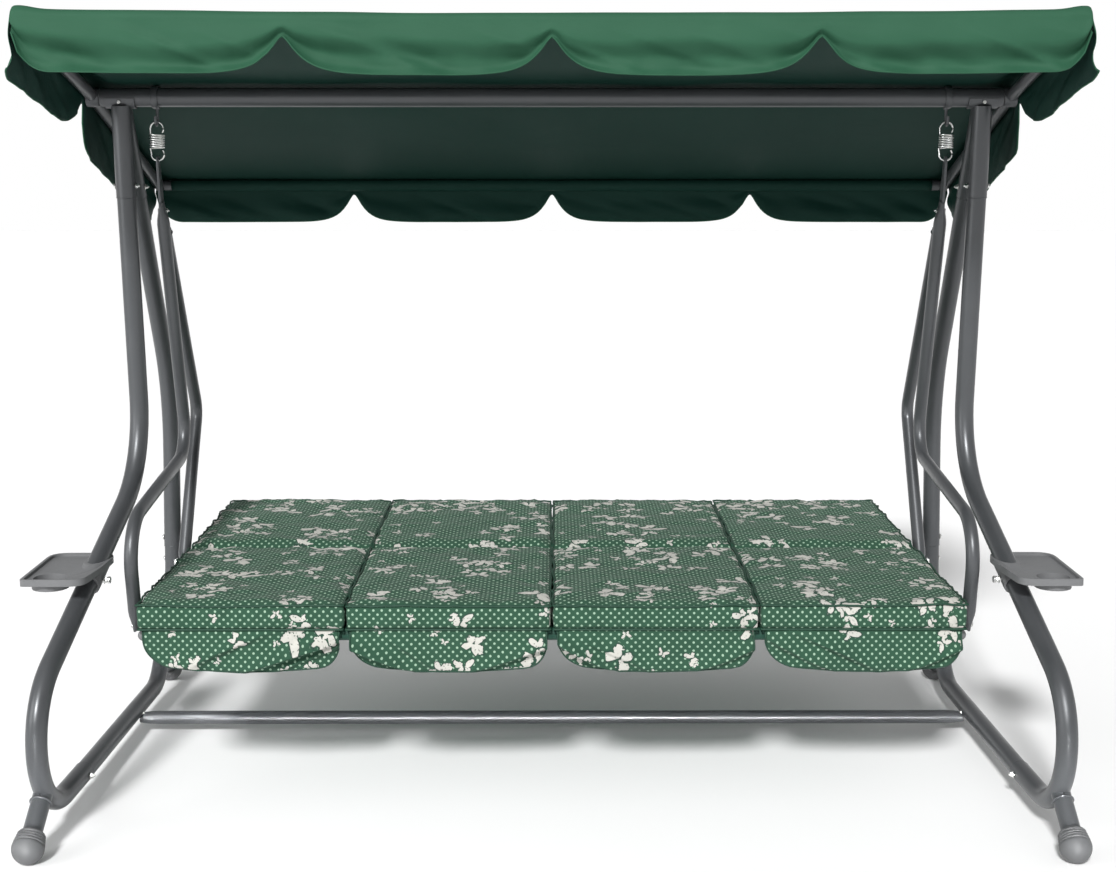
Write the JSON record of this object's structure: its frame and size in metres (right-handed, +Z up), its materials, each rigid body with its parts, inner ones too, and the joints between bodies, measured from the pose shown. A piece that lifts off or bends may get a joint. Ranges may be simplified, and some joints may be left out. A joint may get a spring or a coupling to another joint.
{
  "type": "canopy swing bench",
  "caption": "Garden swing bench: tubular steel stand, spring-hung seat that folds flat into a bed, cushions, cup trays and a tilting scalloped fabric canopy.",
  "frame": {"origin": "on the floor, under the middle of the whole bench", "axes": "+X along the top beam to the sitter's left, +Y towards the back of the bench, +Z up"},
  "size_m": [2.43, 1.5594, 1.8045],
  "materials": {
    "grey_paint": "satin powder coat with fine orange peel",
    "grey_plastic": "matte moulded texture",
    "zinc_steel": "bright zinc plating",
    "canopy_fabric": "plain-weave polyester with a water-repellent coating",
    "cushion_fabric": "plain-weave cotton look with a white dot and butterfly print",
    "sling_fabric": "coarse woven sling"
  },
  "bodies": {
    "frame": {"ball_foot_front_left": "grey_plastic", "ball_foot_front_right": "grey_plastic", "ball_foot_rear_left": "grey_plastic", "ball_foot_rear_right": "grey_plastic", "beam_hook_left": "grey_paint", "beam_hook_right": "grey_paint", "canopy_pivot_bolt_left": "zinc_steel", "canopy_pivot_bolt_right": "zinc_steel", "corner_bracket_left": "grey_paint", "corner_bracket_right": "grey_paint", "cup_tray_left": "grey_plastic", "cup_tray_right": "grey_plastic", "front_leg_left": "grey_paint", "front_leg_right": "grey_paint", "lower_crossbar": "grey_paint", "rear_leg_lower_left": "grey_paint", "rear_leg_lower_right": "grey_paint", "rear_leg_upper_left": "grey_paint", "rear_leg_upper_right": "grey_paint", "top_beam": "grey_paint"},
    "canopy": {"canopy_front_tube": "grey_paint", "canopy_rear_tube": "grey_paint", "canopy_sheet_front": "canopy_fabric", "canopy_sheet_rear": "canopy_fabric", "canopy_side_tube_left": "grey_paint", "canopy_side_tube_right": "grey_paint", "valance_front": "canopy_fabric", "valance_rear": "canopy_fabric", "valance_side_left": "canopy_fabric", "valance_side_right": "canopy_fabric"},
    "hangers": {"spring_left": "zinc_steel", "spring_right": "zinc_steel"},
    "seat": {"front_arm_left": "grey_paint", "front_arm_right": "grey_paint", "hinge_pin_left": "zinc_steel", "hinge_pin_right": "zinc_steel", "rear_arm_left": "grey_paint", "rear_arm_right": "grey_paint", "seat_cushion_1": "cushion_fabric", "seat_cushion_2": "cushion_fabric", "seat_cushion_3": "cushion_fabric", "seat_cushion_4": "cushion_fabric", "seat_hinge_plate_left": "grey_paint", "seat_hinge_plate_right": "grey_paint", "seat_inner_tube": "grey_paint", "seat_outer_tube": "grey_paint", "seat_side_tube_left": "grey_paint", "seat_side_tube_right": "grey_paint", "seat_sling": "sling_fabric"},
    "backrest": {"back_cushion_1": "cushion_fabric", "back_cushion_2": "cushion_fabric", "back_cushion_3": "cushion_fabric", "back_cushion_4": "cushion_fabric", "back_hinge_plate_left": "grey_paint", "back_hinge_plate_right": "grey_paint", "back_inner_tube": "grey_paint", "back_outer_tube": "grey_paint", "back_side_tube_left": "grey_paint", "back_side_tube_right": "grey_paint", "back_sling": "sling_fabric"}
  },
  "joints": [
    {"name": "canopy_tilt", "type": "hinge", "parent": "frame", "child": "canopy", "pos_m": [0, 0.0753, 1.64], "axis": [1, 0, 0], "range_deg": [-12, 12]},
    {"name": "swing", "type": "hinge", "parent": "frame", "child": "hangers", "pos_m": [0, 0.0753, 1.5736], "axis": [1, 0, 0], "range_deg": [-18, 18]},
    {"name": "spring_stretch", "type": "slide", "parent": "hangers", "child": "seat", "axis": [0, 0, -1], "range_m": [0, 0.02], "stiffness_N_per_m": 40000, "springref_m": -0.04, "deforming": ["spring_right", "spring_left"]},
    {"name": "backrest_fold", "type": "hinge", "parent": "seat", "child": "backrest", "pos_m": [0, 0.1953, 0.435], "axis": [1, 0, 0], "range_deg": [0, 66]}
  ]
}
